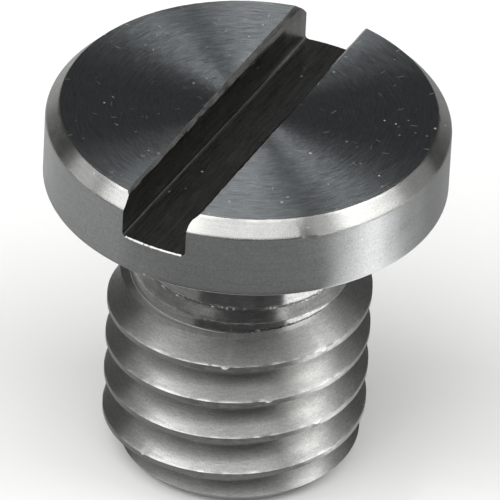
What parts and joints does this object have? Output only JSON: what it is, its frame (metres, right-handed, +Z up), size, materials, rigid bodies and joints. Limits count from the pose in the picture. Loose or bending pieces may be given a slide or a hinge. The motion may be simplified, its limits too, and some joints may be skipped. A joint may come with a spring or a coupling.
{
  "type": "tripod adapter screw",
  "caption": "Short slotted screw with a flat chamfered head, a relieved neck and a 3/8 inch thread, for fixing a tripod to an adapter plate.",
  "frame": {"origin": "centre of the flat thread end, which the screw stands on", "axes": "+Z up the screw's axis to the slotted face, +Y along the driver slot"},
  "size_m": [0.0144, 0.0144, 0.0145],
  "materials": {
    "turned_steel": "bare turned stainless steel, concentric facing marks on the head, bright chamfer, satin thread"
  },
  "bodies": {
    "root": {"adapter_screw": "turned_steel"}
  },
  "joints": []
}
